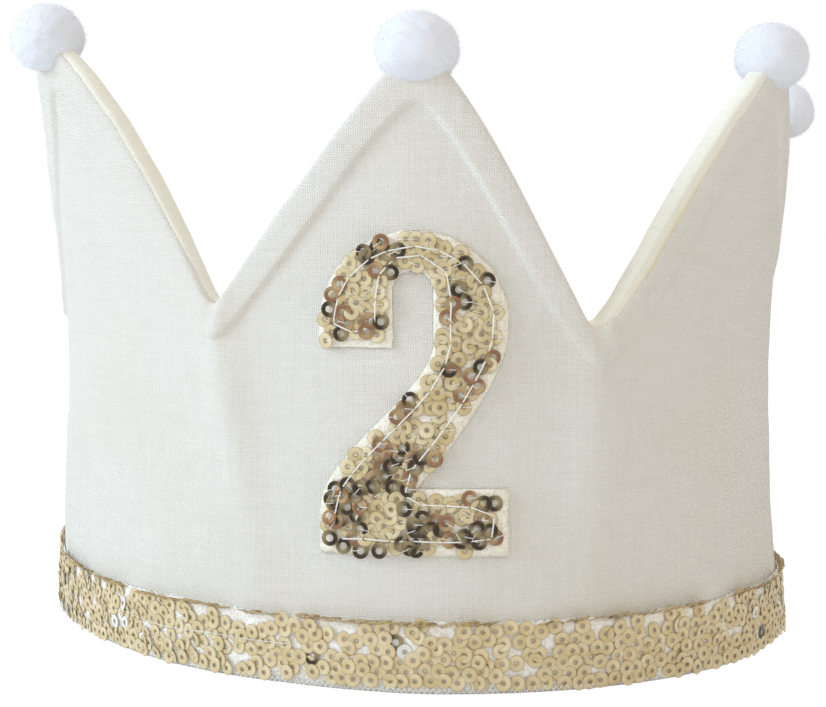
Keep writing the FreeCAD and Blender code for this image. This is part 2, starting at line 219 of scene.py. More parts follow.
def smoothing(count, per_span):
    """Weights of a cubic clamped spline: one row for each fine column."""
    knots = np.concatenate([[0.0] * 3, np.arange(count - 2), [count - 3.0] * 3])
    spans = count - 3
    at = np.linspace(0.0, spans, spans * per_span + 1)
    at[-1] -= 1e-9
    weights = np.array([(knots[i] <= at) & (at < knots[i + 1]) for i in range(len(knots) - 1)]).T
    weights = weights.astype(float)
    for degree in (1, 2, 3):
        raised = np.zeros((len(at), weights.shape[1] - 1))
        for i in range(raised.shape[1]):
            rise, fall = knots[i + degree] - knots[i], knots[i + degree + 1] - knots[i + 1]
            if rise > 0:
                raised[:, i] += (at - knots[i]) / rise * weights[:, i]
            if fall > 0:
                raised[:, i] += (knots[i + degree + 1] - at) / fall * weights[:, i + 1]
        weights = raised
    return weights


columns = control_columns()
smooth = smoothing(len(columns), 6)
fine_arcs = smooth @ columns
print(len(columns), "control columns,", len(fine_arcs), "fine columns")

# %% [markdown]
# ## Unevenness of sewn cloth
# Cloth that was cut and sewn by hand is never quite even: the edge wanders by a few tenths
# of a millimetre and the wall has shallow dents. Noise textures could bump the surface, but
# the outline would stay too straight. So a few smooth waves with fixed random directions
# move the mesh itself, and every layer uses the same waves, so that they stay together.

# %% Smooth waves with a fixed seed


def ripple(seed, length, *places):
    """Smooth unevenness between about -1 and 1, with waves of about one length."""
    dice = np.random.default_rng(seed)
    total = 0.0
    for wave in range(7):
        turn, phase = dice.uniform(0, 2 * math.pi, 2)
        pace = 2 * math.pi / (length * dice.uniform(0.7, 1.6))
        run = places[0] * math.cos(turn) + (places[1] * math.sin(turn) if len(places) > 1 else 0)
        total = total + np.sin(run * pace + phase)
    return total / 4.0


# Each soft fold: its upper end, its lower end, its relief and its width
SOFT_FOLDS = [((-38.0, 66.0), (-29.0, 14.0), 1.7, 4.2), ((32.5, 62.0), (36.0, 16.0), 1.1, 5.5)]
# Each crease below an inner valley: how far it leans with depth, and how deep it is
CREASES = [(0.0, 0.5), (-0.27, 0.9), (0.45, 0.9), (0.1, 0.5)]
CREASE_LENGTH, CREASE_WIDTH, DENT_LIMIT = 16.0, 0.9, 0.45


def dents(arc, height, folded=True):
    """How far the whole wall is pushed in or out at a place, in millimetres."""
    push = 0.4 * ripple(11, 34.0, arc, height) + 0.12 * ripple(12, 11.0, arc, height)
    folds = 0.0
    for high, low, relief, width in SOFT_FOLDS:
        share = np.clip((high[1] - height) / (high[1] - low[1]), -0.2, 1.2)
        run = arc - (high[0] + (low[0] - high[0]) * share)
        fade = np.clip(1.2 - share, 0.0, 1.0) * np.clip(share + 0.2, 0.0, 0.4) / 0.4
        folds = folds + relief * fade * np.exp(-((run / width) ** 2))
    for (lean, depth), valley, top in zip(CREASES, VALLEYS[1:-1], VALLEY_HEIGHTS[1:-1]):
        below = top - height
        run = arc - valley - lean * below
        fade = np.clip(1 - below / CREASE_LENGTH, 0.0, 1.0) ** 2
        push = push - depth * fade * np.exp(-((run / CREASE_WIDTH) ** 2))
        folds = folds + 0.5 * depth * fade * np.exp(-(((run - 2.2) / 1.6) ** 2))
    return DENT_LIMIT * np.tanh(push / DENT_LIMIT) + (folds if folded else 0.0)


def on_wall(arc, height, out):
    """Points in metres that follow the dents of the wall."""
    return place(arc, height, out + dents(arc, height))


print("dents up to", round(float(np.abs(dents(fine_arcs, 40.0)).max()), 2), "mm")

# %% [markdown]
# ## Making a cloth from its section
# Each layer of cloth has a section that runs up one face, over the edge and down the other.
# Swept along the columns it is one closed skin. That is a sheet of cloth, so it is built in
# mesh code from its pattern, with the pattern kept as a UV map in millimetres, because a
# weave has to follow the cloth and not the room.

# %% Build a closed cloth from rows


def finish_mesh(name, points, faces, flat=None, tones=None, soft=True):
    """A mesh object from points in metres, with its flat pattern and named tones."""
    mesh = bpy.data.meshes.new(name)
    mesh.from_pydata(np.asarray(points).reshape(-1, 3).tolist(), [], faces)
    mesh.update()
    if flat is not None:
        layer = mesh.uv_layers.new(name="flat")
        corners = np.zeros(len(mesh.loops), dtype=np.int32)
        mesh.loops.foreach_get("vertex_index", corners)
        layer.data.foreach_set("uv", np.asarray(flat, np.float32)[corners].ravel())
    for key, values in (tones or {}).items():
        layer = mesh.attributes.new(key, "FLOAT", "POINT")
        layer.data.foreach_set("value", np.asarray(values, np.float32).ravel())
    made = bpy.data.objects.new(name, mesh)
    bpy.context.scene.collection.objects.link(made)
    made.data.polygons.foreach_set("use_smooth", [soft] * len(mesh.polygons))
    return made


def swept_faces(stations, rows):
    """Quads of a closed section swept along stations, with a cap at each end."""
    faces = []
    for i in range(stations - 1):
        for j in range(rows):
            k = (j + 1) % rows
            faces.append((i * rows + j, (i + 1) * rows + j, (i + 1) * rows + k, i * rows + k))
    last = (stations - 1) * rows
    return faces + [tuple(range(rows)), tuple(last + j for j in reversed(range(rows)))]


def point_outwards(piece):
    """Turns all faces of a closed piece outwards."""
    work = bmesh.new()
    work.from_mesh(piece.data)
    bmesh.ops.recalc_face_normals(work, faces=work.faces)
    work.to_mesh(piece.data)
    work.free()
    return piece


def ready(piece, slot, *nodes):
    """Puts a finished piece on the crown's body and hides the nodes it stands for; the slot is not
    used.
    """
    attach(piece, "root")
    if nodes:
        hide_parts(*nodes)
    print(piece.name, len(piece.data.polygons), "faces")
    return piece


# %% [markdown]
# ## The linen shell and the cotton lining
# The two cloths are sewn together along the zigzag and turned, so the seam allowance lies
# inside and lifts a border about 6 mm wide. At the very edge both cloths roll over and meet
# in a seam that sits a little lower. A bevel on a flat solid can't give that roll, so the
# section is written out row by row: wall, slope, border, roll, seam and hidden back.

# %% Rows of the two cloths
SHELL_INSIDE, SHELL_FACE = 1.15, 1.85
LINING_INSIDE, LINING_FACE = -1.15, -1.75
BORDER_WIDTH, BORDER_SLOPE, BORDER_RELIEF, LINING_RELIEF = 5.8, 1.5, 0.95, 0.3
ROLL, SEAM_DEPTH, SEAM_OUT, SEAM_APART = 1.4, 1.3, 0.75, 0.06
wall_shares = np.linspace(0.0, 1.0, 27) ** 0.9


def cloth_rows(face, inside, relief, seam):
    """Rows of one cloth as (kind, value, out, nearness to the seam, which sets the painted crevice
    shade).
    """
    sign = math.copysign(1.0, face)
    raised = face + sign * relief
    rows = [("wall", share, face, 0.0) for share in wall_shares]
    for step in np.linspace(0.0, 1.0, 7)[1:]:
        lift = step**2 * (3 - 2 * step)
        depth = BORDER_WIDTH + BORDER_SLOPE * (1 - step)
        rows.append(("edge", depth, face + sign * relief * lift, 0.0))
    for depth in (4.6, 3.4, 2.4):
        rows.append(("edge", depth, raised + sign * 0.05, 0.0))
    crown = seam + 0.45 * (raised - seam)
    for turn in np.radians([12, 30, 48, 66, 84, 100]):
        out = crown + (raised - crown) * math.cos(turn)
        rows.append(("edge", ROLL * (1 - math.sin(turn)), out, 0.0))
    for turn in np.radians([115, 135, 160]):
        out = seam + (crown - seam) * (1 + math.cos(turn)) * 0.9
        depth = SEAM_DEPTH * (1 - math.sin(turn))
        rows.append(("edge", depth, out, 0.0))
    # the last value of each of these rows is the share of painted shade deep in the seam crevice
    for depth, near in ((2.0, 0.0), (2.8, 0.3), (3.5, 0.9), (5.0, 1.0), (6.6, 1.0)):
        rows.append(("edge", depth, seam + sign * 0.05, near))
    rows += [("edge", depth, inside, 0.0) for depth in (6.8, 7.1)]
    rows += [("wall", share, inside, 0.0) for share in np.linspace(1.0, 0.0, 9)]
    return rows


# Where the lining rolls over the linen: the arc, its reach and how much of it shows
LINING_SHOWS = [(54.0, 20.0, 4.3), (-57.0, 18.0, 1.5)]
FLAP_OUT = 1.75


def drawn_down(arc):
    """How far the linen's edge lies below the lining's, where the lining rolls over it."""
    return sum(most * np.exp(-(((arc - mid) / width) ** 4)) for mid, width, most in LINING_SHOWS)


def cloth(name, rows):
    """A closed cloth whose border wanders a little, as a hand-sewn one does."""
    outer = rows[0][2] > 0
    reveal = drawn_down(columns) * (1 + 0.2 * ripple(24, 9.0, columns)) * outer
    flap = FLAP_OUT * np.clip(drawn_down(columns) / 1.5, 0.0, 1.0) * (not outer)
    ragged = 0.55 * ripple(25, 4.6, fine_arcs) + 0.2 * ripple(26, 2.2, fine_arcs)
    ragged = ragged * np.clip(drawn_down(fine_arcs) / 3.0, 0.0, 1.0) * (1.0 if outer else 0.5)
    wander = 0.35 * ripple(21, 12.0, columns) + 0.2 * ripple(22, 5.0, columns)
    ridge = 0.4 * ripple(23, 9.0, columns)
    closed = np.isin(columns, (PANEL_START, PANEL_END)) * 1.0
    points, flat, seam = [], [], []
    for kind, value, out, near in rows:
        if kind == "wall":
            heights = (edge_height(columns, BORDER_WIDTH + BORDER_SLOPE) - reveal) * value
            heights = heights + (wander + ridge) * value**8
        else:
            inner = np.clip((value - 2.5) / 3.0, 0.0, 1.0)
            heights = edge_height(columns, value) - reveal + wander + ridge * inner
        fine = smooth @ heights
        push = dents(fine_arcs, fine, outer)
        up, outward = frames_at(fine_arcs, fine)[2:]
        rolled = out + flap * np.clip((out + 0.6) / 1.3, 0.0, 1.0)
        rolled = rolled * (1 - closed * (out == rows[-1][2]))
        torn = ragged * (kind == "edge" and value < 2.5)
        moved = outward * push[:, None] + up * torn[:, None]
        points.append(smooth @ place(columns, heights, rolled) + moved * MM)
        flat.append(np.stack([fine_arcs, fine + (0 if near < 0.5 else 2.0)], axis=1))
        seam.append(np.full(len(fine), near))
    points, flat, seam = (np.stack(part, axis=1) for part in (points, flat, seam))
    rows_here = points.shape[1]
    faces = swept_faces(points.shape[0], rows_here)
    # the seam attribute carries the share of painted crevice shade
    made = finish_mesh(name, points, faces, flat.reshape(-1, 2), {"seam": seam.reshape(-1)})
    return point_outwards(made)


shell_rows = cloth_rows(SHELL_FACE, SHELL_INSIDE, BORDER_RELIEF, SEAM_OUT + SEAM_APART)
lining_rows = cloth_rows(LINING_FACE, LINING_INSIDE, LINING_RELIEF, SEAM_OUT - SEAM_APART)
shell, lining = cloth("linen_shell", shell_rows), cloth("cotton_lining", lining_rows)
ready(shell, "shell_cloth", "outer_shell")
ready(lining, "lining_cloth", "lining")

# %% [markdown]
# ## The net band
# The sequins are sold sewn to a strip of white knitted net, which shows above the top row.
# It is a plain strip laid on the linen, and its upper edge is cut a little unevenly.

# %% Net strip
BAND_LIFT, NET_TOP = 0.3, BAND_HEIGHT - 0.3


def net_strip():
    """A thin closed strip that follows the foot of the wall."""
    arcs = np.linspace(PANEL_START, PANEL_END, 761)
    wave = 0.25 * ripple(31, 14.0, arcs) + 0.15 * np.sin(arcs * 2 * math.pi / 1.6)
    rows = [(0.0, 2.05), (0.0, 2.3), (0.3, 2.42), (0.6, 2.42), (0.9, 2.35), (1.0, 2.2), (1.0, 2.0)]
    heights = [BAND_LIFT + share * (NET_TOP - BAND_LIFT) + wave * share for share, out in rows]
    points = np.stack([on_wall(arcs, h, out) for h, (share, out) in zip(heights, rows)], axis=1)
    flat = np.stack([np.stack([arcs, h], axis=1) for h in heights], axis=1)
    faces = swept_faces(len(arcs), len(rows))
    return point_outwards(finish_mesh("net_band", points, faces, flat.reshape(-1, 2)))


net_band = ready(net_strip(), "net", "sequin_band")

# %% [markdown]
# ## One sequin, then many
# A sequin is a thin cupped ring of foil about 3 mm across with a hole in the middle. It is
# modelled once: a circle is inset and raised for the cup, inset again and opened for the
# hole, and then given its thickness. Hundreds of full objects would be slow, so the copies
# are gathered in one mesh, each with its own tilt and its own tone.

# %% Model one sequin
SEQUIN_RADIUS, SEQUIN_LIP, SEQUIN_CUP, FOIL_THICKNESS = 1.52, 0.32, 0.08, 0.05
SMALL_HOLE, WIDE_HOLE = 0.36, 0.72


def nothing_selected():
    """Leaves edit mode's tools nothing to act on but the new piece."""
    if bpy.context.object and bpy.context.object.mode != "OBJECT":
        bpy.ops.object.mode_set(mode="OBJECT")
    bpy.ops.object.select_all(action="DESELECT")


def model_sequin(hole, sides=14):
    """One sequin in millimetres at the origin, facing +Z."""
    nothing_selected()
    bpy.ops.mesh.primitive_circle_add(vertices=sides, radius=SEQUIN_RADIUS, fill_type="NGON")
    ring = bpy.context.object
    bpy.ops.object.mode_set(mode="EDIT")
    bpy.ops.mesh.select_all(action="SELECT")
    bpy.ops.mesh.inset(thickness=SEQUIN_LIP)
    bpy.ops.transform.translate(value=(0.0, 0.0, SEQUIN_CUP))
    bpy.ops.mesh.inset(thickness=SEQUIN_RADIUS - SEQUIN_LIP - hole)
    bpy.ops.transform.translate(value=(0.0, 0.0, -SEQUIN_CUP * 0.6))
    bpy.ops.mesh.delete(type="FACE")
    bpy.ops.object.mode_set(mode="OBJECT")
    foil = ring.modifiers.new("foil", "SOLIDIFY")
    foil.thickness, foil.offset = FOIL_THICKNESS, 0.0
    bpy.ops.object.modifier_apply(modifier=foil.name)
    return ring


def shape_of(model):
    """Points and faces of a model as arrays, after which the model is removed."""
    points = np.array([v.co[:] for v in model.data.vertices])
    faces = [tuple(f.vertices) for f in model.data.polygons]
    bpy.data.objects.remove(model)
    return points, faces


pale_sequin = shape_of(model_sequin(SMALL_HOLE))
wide_hole_sequin = shape_of(model_sequin(WIDE_HOLE))
print("one sequin has", len(pale_sequin[1]), "faces")


def gathered(name, shapes, kinds, spots, axes, tones, seed=0, soft=False):
    """Copies of shapes, each at a spot with its own kind and axes, as one mesh."""
    glints = np.random.default_rng(seed).uniform(0, 2 * math.pi, len(spots))
    placed, faces, begun = [], [], 0
    named = {"tone": [], "radius": [], "glint": []}
    for kind, spot, turned, tone, glint in zip(kinds, spots, axes, tones, glints):
        points, corners = shapes[kind]
        placed.append(points * MM @ turned + spot)
        faces += [tuple(i + begun for i in face) for face in corners]
        begun += len(points)
        named["tone"].append(np.full(len(points), tone))
        named["radius"].append(np.linalg.norm(points[:, :2], axis=1))
        # glint: a painted reflection that makes one side of each copy lighter, at a random turn
        named["glint"].append(np.cos(np.arctan2(points[:, 1], points[:, 0]) - glint))
    joined = {key: np.concatenate(values) for key, values in named.items()}
    return finish_mesh(name, np.concatenate(placed), faces, tones=joined, soft=soft)


def laid(dice, arcs, heights, outs, tips, ease=1.0):
    """Spots on the wall and axes spun at random, tipped by a mean and a spread in radians."""
    spots, *ways = frames_at(arcs, heights, outs)
    axes = np.stack(ways, axis=1)
    spin = dice.uniform(0, 6.28, len(arcs))
    tip_x, tip_y = (dice.normal(mean, spread, len(arcs)) for mean, spread in tips)
    for n, (x, y, z) in enumerate(zip(tip_x * ease, tip_y, spin)):
        turn = Matrix.Rotation(x, 3, "X") @ Matrix.Rotation(y, 3, "Y") @ Matrix.Rotation(z, 3, "Z")
        axes[n] = np.array(turn.transposed()) @ axes[n]
    return spots, axes


# %% Lay the sequins of the band
BAND_ROWS, BAND_PITCH, BAND_FIRST, BAND_ROW_STEP = 6, 2.62, 1.55, 2.05
# share of band sequins painted with a bronze dark reflection
BAND_BRONZE_REFLECTION, SEQUIN_OUT = 0.008, 2.6
dice = np.random.default_rng(41)
band_arcs, band_heights = [], []
for row in range(BAND_ROWS):
    first = PANEL_START + 1.7 + (row % 2) * BAND_PITCH / 2
    arcs = np.arange(first, PANEL_END - 1.6, BAND_PITCH)
    kept = dice.random(len(arcs)) > (0.30 if row == BAND_ROWS - 1 else 0.05)
    arcs = arcs + dice.normal(0, 0.42, len(arcs))
    heights = BAND_FIRST + row * BAND_ROW_STEP + dice.normal(0, 0.36, len(arcs))
    band_arcs.append(arcs[kept])
    band_heights.append(heights[kept])
band_arcs = np.clip(np.concatenate(band_arcs), PANEL_START + 1.5, PANEL_END - 1.5)
band_heights = np.clip(np.concatenate(band_heights), 1.5, 12.6)
net_shows = np.exp(-(((band_arcs + 2.0) / 24.0) ** 4)) * np.clip(1 - band_heights / 7.0, 0.0, 1.0)
band_heights = band_heights + 1.1 * net_shows
band_count = len(band_arcs)
band_out = SEQUIN_OUT + dents(band_arcs, band_heights) + dice.uniform(0, 0.25, band_count)
spots, axes = laid(dice, band_arcs, band_heights, band_out, [(0.06, 0.10), (-0.05, 0.10)])
band_tones = dice.random(band_count)
band_sequins = gathered(
    "band_sequin_rows", (pale_sequin, wide_hole_sequin), (band_tones < BAND_BRONZE_REFLECTION).astype(int),
    spots, axes, band_tones, seed=42,
)
ready(band_sequins, "band_sequin", "band_sequins")

# %% [markdown]
# Along the top of the band the sequins of the last row stand on edge, in short runs like a
# twisted rope, because the net was cut there and its threads pulled them upright. They are
# the same sequin, turned by most of a right angle. Where the ring turns away they lie
# flatter, so that they don't stand out past its outline.

# %% Stand the top row on edge
dice = np.random.default_rng(43)
edge_arcs = np.arange(PANEL_START + 2.5, PANEL_END - 2.5, 1.9)
edge_arcs = edge_arcs[ripple(44, 16.0, edge_arcs) > -0.25]
edge_count = len(edge_arcs)
edge_arcs = edge_arcs + dice.normal(0, 0.3, edge_count)
edge_heights = BAND_HEIGHT - 0.35 + 0.3 * ripple(45, 18.0, edge_arcs)
turned_flat = np.clip((np.abs(edge_arcs) - 80.0) / 30.0, 0.0, 1.0)
edge_out = 3.0 - 0.5 * turned_flat + dents(edge_arcs, edge_heights)
ease = 1 - 0.8 * turned_flat
spots, axes = laid(dice, edge_arcs, edge_heights, edge_out, [(1.15, 0.12), (0.16, 0.10)], ease)
edge_sequins = gathered(
    "band_edge_sequins", (pale_sequin,), np.zeros(edge_count, int),
    spots, axes, dice.uniform(0.25, 1.0, edge_count), seed=46,
)
ready(edge_sequins, "band_sequin")
print(edge_count, "sequins on edge")

# %% [markdown]
# ## The figure
# The figure is cut from cream net with a felt back. Its outline is a few lines and curves on
# the flat front, sampled into one polygon. The polygon is cut into small cells, bent with the
# wall and given its thickness, so that it hugs the ring like the real patch does.

# %% Outline of the figure, in millimetres across and up
NUMBER_WIDTH, NUMBER_HEIGHT, NUMBER_RISE = 33.8, 58.5, 25.3
STROKE, TOP_STROKE, FOOT_BAR, HOOK = 13.3, 7.1, 12.2, 4.0
half = NUMBER_WIDTH / 2
foot, crown = NUMBER_RISE, NUMBER_RISE + NUMBER_HEIGHT
middle, slot = crown - half, half - STROKE
slot_top, hook, knee = crown - TOP_STROKE, crown - half - HOOK, -half + STROKE * 1.32


def bezier(*poles, steps=16):
    """Points along a cubic curve, without its last one."""
    t = np.linspace(0, 1, steps + 1)[:-1, None]
    a, b, c, d = (np.array(p) for p in poles)
    return a * (1 - t) ** 3 + 3 * b * t * (1 - t) ** 2 + 3 * c * t * t * (1 - t) + d * t**3


def straight(a, b):
    """Points along a straight edge about every 2 mm, without its last one."""
    return np.linspace(a, b, max(1, int(math.dist(a, b) / 2.0)) + 1)[:-1]


def bow_over(centre, radius, start, end, steps=24):
    """Points along part of a circle, without its last one."""
    turn = np.radians(np.linspace(start, end, steps + 1)[:-1])
    return np.array(centre) + radius * np.stack([np.cos(turn), np.sin(turn)], axis=1)


slot_end, heel = (slot, hook + 1.0), (-half, foot + FOOT_BAR * 0.65)
corner, end = (knee, foot + FOOT_BAR), (half, foot + FOOT_BAR)
outline = np.concatenate([
    straight((-half, foot), (half, foot)),
    straight((half, foot), end),
    straight(end, corner),
    bezier(corner, (knee + 5.0, foot + FOOT_BAR + 6.2), (half, middle - 9.0), (half, middle)),
    bow_over((0, middle), half, 0, 180),
    straight((-half, middle), (-half, hook)),
    straight((-half, hook), (-slot, hook)),
    straight((-slot, hook), (-slot, slot_top - slot)),
    bow_over((0, slot_top - slot), slot, 180, 0, 12),
    straight((slot, slot_top - slot), slot_end),
    bezier(slot_end, (slot, hook - 8.0), (-half, heel[1] + 10.0), heel),
    straight(heel, (-half, foot)),
])
print("outline of", len(outline), "points")


def to_outline(spots):
    """Distance of each spot from the outline, positive inside it."""
    a, b = outline, np.roll(outline, -1, axis=0)
    edge = b - a
    rel = spots[:, None, :] - a[None]
    t = np.clip((rel * edge).sum(-1) / (edge**2).sum(-1), 0, 1)
    away = np.linalg.norm(rel - t[..., None] * edge, axis=-1).min(axis=1)
    above = (a[None, :, 1] > spots[:, 1:]) != (b[None, :, 1] > spots[:, 1:])
    with np.errstate(divide="ignore", invalid="ignore"):
        crossing = a[:, 0] + (spots[:, 1:] - a[:, 1]) * edge[:, 0] / edge[:, 1]
    inside = (above & (spots[:, :1] < crossing)).sum(axis=1) % 2 == 1
    return np.where(inside, away, -away)


# %% Felt figure bent to the front
FELT_BACK, FELT_FACE, NUMBER_CELL = 2.0, 2.8, 1.3


def felt_figure():
    """The figure as a thin closed slab of small cells."""
    work = bmesh.new()
    edge_noise = 0.22 * ripple(51, 3.1, outline[:, 0], outline[:, 1])
    centre_pull = outline + edge_noise[:, None] * 0.7
    face = work.faces.new([work.verts.new((x, 0.0, z)) for x, z in centre_pull])
    for axis, low, high in ((0, -half, half), (2, foot, crown)):
        for at in np.arange(low + NUMBER_CELL, high, NUMBER_CELL):
            spot, way = [0.0] * 3, [0.0] * 3
            spot[axis], way[axis] = at, 1.0
            geometry = work.verts[:] + work.edges[:] + work.faces[:]
            bmesh.ops.bisect_plane(work, geom=geometry, plane_co=spot, plane_no=way)
    bmesh.ops.triangulate(work, faces=work.faces)
    work.verts.index_update()
    flat = np.array([(v.co.x, v.co.z) for v in work.verts])
    faces = [tuple(v.index for v in f.verts) for f in work.faces]
    rim = [tuple(v.index for v in e.verts) for e in work.edges if e.is_boundary]
    work.free()
    count = len(flat)
    inside = np.clip(to_outline(flat), 0, 1.2) / 1.2
    outs = (FELT_FACE - 0.35 * (1 - inside) ** 2, FELT_BACK)
    points = np.concatenate([on_wall(flat[:, 0], flat[:, 1], out) for out in outs])
    both = faces + [tuple(count + i for i in reversed(f)) for f in faces]
    both += [(a, b, count + b, count + a) for a, b in rim]
    made = finish_mesh("figure_felt", points, both, np.concatenate([flat, flat]))
    return point_outwards(made)


figure = ready(felt_figure(), "number_felt", "number_patch")

# %% Lay the sequins of the figure
NUMBER_PITCH, NUMBER_ROW = 2.05, 1.85
# shares of the figure's sequins painted with copper and bronze dark reflections
COPPER_REFLECTION_SHARE, BRONZE_REFLECTION_SHARE = 0.15, 0.22
dice = np.random.default_rng(61)
grid = []
for row, height in enumerate(np.arange(foot + 1.3, crown - 1.0, NUMBER_ROW)):
    across = np.arange(-half + 1.2 + (row % 2) * NUMBER_PITCH / 2, half, NUMBER_PITCH)
    grid.append(np.stack([across, np.full(len(across), height)], axis=1))
grid = np.concatenate(grid) + dice.normal(0, 0.42, (sum(len(g) for g in grid), 2))
right_net = 0.9 + 1.6 * np.clip(grid[:, 0] / half, 0.0, 1.0) ** 3
grid = grid[(to_outline(grid) > right_net) & (dice.random(len(grid)) > 0.06)]
number_count = len(grid)
# the painted dark reflections gather in clusters and more towards the bottom
dark_reflection_clusters = 0.5 + 0.62 * ripple(62, 8.5, grid[:, 0], grid[:, 1])
lower = np.clip((crown - grid[:, 1]) / NUMBER_HEIGHT, 0.0, 1.0)
number_tones = 0.28 * dice.random(number_count) + 0.62 * dark_reflection_clusters + 0.28 * (1 - lower)
number_tones = np.argsort(np.argsort(number_tones)) / number_count
swapped = dice.random(number_count) < 0.16
number_tones[swapped] = dice.random(swapped.sum())
is_dark_reflection = number_tones < COPPER_REFLECTION_SHARE + BRONZE_REFLECTION_SHARE
lift = FELT_FACE + 0.16 + dents(grid[:, 0], grid[:, 1]) + dice.uniform(0, 0.35, number_count)
lift = lift + 0.4 * is_dark_reflection
figure_spots, figure_axes = laid(dice, grid[:, 0], grid[:, 1], lift, [(0.0, 0.13), (0.0, 0.13)])
number_sequins = gathered(
    "figure_sequins", (pale_sequin, wide_hole_sequin), is_dark_reflection.astype(int),
    figure_spots, figure_axes, number_tones, seed=63,
)
ready(number_sequins, "number_sequin", "number_sequins")
print(band_count, "sequins on the band,", number_count, "on the figure")

# %% [markdown]
# ## Threads
# White thread holds the figure down in long straight stitches, and short threads hold the
# sequins from their holes to their rims. One stitch is modelled as a thin six-sided thread that
# rises, lies flat and dips in again, and then it is copied and stretched to each length.

# %% Model one stitch
THREAD_WIDTH, FINE_THREAD_WIDTH = 0.26, 0.13
STITCH_STEPS, STITCH_LIFTS = (0.08, 0.22, 0.4, 0.22, 0.08), (1.0, 0.4, 0.0, -0.4, -1.0)


def model_stitch(radius, rise):
    """One stitch in millimetres along +X, one millimetre long, bowed towards +Z."""
    nothing_selected()
    bpy.ops.mesh.primitive_circle_add(
        vertices=6, radius=radius, fill_type="NGON", rotation=(0, math.pi / 2, 0)
    )
    thread = bpy.context.object
    bpy.ops.object.transform_apply(location=False, rotation=True, scale=False)
    bpy.ops.object.mode_set(mode="EDIT")
    bpy.ops.mesh.select_all(action="SELECT")
    for step, lift in zip(STITCH_STEPS, STITCH_LIFTS):
        move = {"value": (step, 0.0, lift * rise)}
        bpy.ops.mesh.extrude_region_move(TRANSFORM_OT_translate=move)
    bpy.ops.mesh.select_all(action="SELECT")
    bpy.ops.mesh.normals_make_consistent(inside=False)
    bpy.ops.object.mode_set(mode="OBJECT")
    return thread


stitch_shape = shape_of(model_stitch(THREAD_WIDTH / 2, 0.22))
fine_shape = shape_of(model_stitch(FINE_THREAD_WIDTH / 2, 0.1))
print("one stitch has", len(stitch_shape[1]), "faces")


def stitches(name, starts, ends, outward, shape=stitch_shape):
    """Stitches from each start to each end, bowed outwards."""
    run = ends - starts
    side = np.cross(outward, run)
    side /= np.linalg.norm(side, axis=1, keepdims=True)
    lift = np.cross(run, side)
    lift /= np.linalg.norm(lift, axis=1, keepdims=True)
    axes = np.stack([run / MM, side, lift], axis=1)
    count = len(starts)
    return gathered(name, (shape,), np.zeros(count, int), starts, axes, np.zeros(count), soft=True)


# %% Stitch the figure down
STITCH_INSET, STITCH_LENGTH, STITCH_SPACE = 2.9, 4.1, 0.3
ahead = np.roll(outline, -1, axis=0) - np.roll(outline, 1, axis=0)
ahead /= np.linalg.norm(ahead, axis=1, keepdims=True)
inset = outline + STITCH_INSET * np.stack([-ahead[:, 1], ahead[:, 0]], axis=1)
path = inset[to_outline(inset) > STITCH_INSET - 0.25]
path = np.concatenate([path, path[:1]])
path_run = np.concatenate([[0.0], np.cumsum(np.linalg.norm(np.diff(path, axis=0), axis=1))])
dice = np.random.default_rng(71)
begin, pairs = 0.0, []
while begin < path_run[-1] - STITCH_LENGTH:
    end = begin + STITCH_LENGTH * dice.uniform(0.75, 1.25)
    pairs.append((begin, end))
    begin = end + STITCH_SPACE * dice.uniform(0.6, 1.6)


def on_path(run):
    """Places on the inset path at runs along it, with a slight wander."""
    spots = np.stack([np.interp(run, path_run, path[:, i]) for i in (0, 1)], axis=1)
    return spots + 0.15 * ripple(72, 7.0, run)[:, None]


pairs = np.array(pairs)
stitch_out = FELT_FACE + 0.62
ends = [on_path(pairs[:, i]) for i in (0, 1)]
starts3, ends3 = (on_wall(e[:, 0], e[:, 1], stitch_out) for e in ends)
mid = (ends[0] + ends[1]) / 2
outward = frames_at(mid[:, 0], mid[:, 1])[3]
figure_stitching = stitches("figure_stitching", starts3, ends3, outward)
ready(figure_stitching, "thread", "number_stitching")

# %% Hold the sequins of the figure
HOLD_LENGTH, HELD_SHARE = 1.62, 0.6


def hold_sequins(name, spots, axes, seed):
    """A fine thread from the hole of each sequin over its rim."""
    dice = np.random.default_rng(seed)
    turn = dice.choice([0.0, math.pi], len(spots)) + dice.normal(0, 0.5, len(spots))
    facing = axes[:, 2]
    ring_along = np.cross(np.array([0.0, 0.0, 1.0]), facing)
    ring_along /= np.linalg.norm(ring_along, axis=1, keepdims=True)
    ring_up = np.cross(facing, ring_along)
    way = ring_along * np.cos(turn)[:, None] + ring_up * np.sin(turn)[:, None]
    begin = spots + facing * 0.02 * MM
    return stitches(name, begin, begin + way * HOLD_LENGTH * MM, facing, fine_shape)


held = np.random.default_rng(74).random(number_count) < HELD_SHARE
sequin_threads = hold_sequins("figure_sequin_threads", figure_spots[held], figure_axes[held], 73)
ready(sequin_threads, "thread")

# %% Stitch the elastic's ends
ELASTIC_TUCK, ELASTIC_RISE, ELASTIC_WIDTH = 12.0, 8.0, 25.0
heights = np.arange(14.2, ELASTIC_RISE + ELASTIC_WIDTH - 2.5, 3.7)
side_arcs = np.repeat([PANEL_START + ELASTIC_TUCK / 2, PANEL_END - ELASTIC_TUCK / 2], len(heights))
low = np.tile(heights, 2)
starts3, ends3 = (on_wall(side_arcs, at, SHELL_FACE + 0.25) for at in (low, low + 2.8))
elastic_stitching = stitches("elastic_stitches", starts3, ends3, frames_at(side_arcs, low)[3])
ready(elastic_stitching, "thread", "elastic_stitching")

# %% Loops of the cut net and a running thread


def thread_along(name, arcs, heights, out):
    """Fine stitches end to end along the wall."""
    spots, facing = on_wall(arcs, heights, out), frames_at(arcs, heights)[3]
    return stitches(name, spots[:-1], spots[1:], facing[:-1], fine_shape)


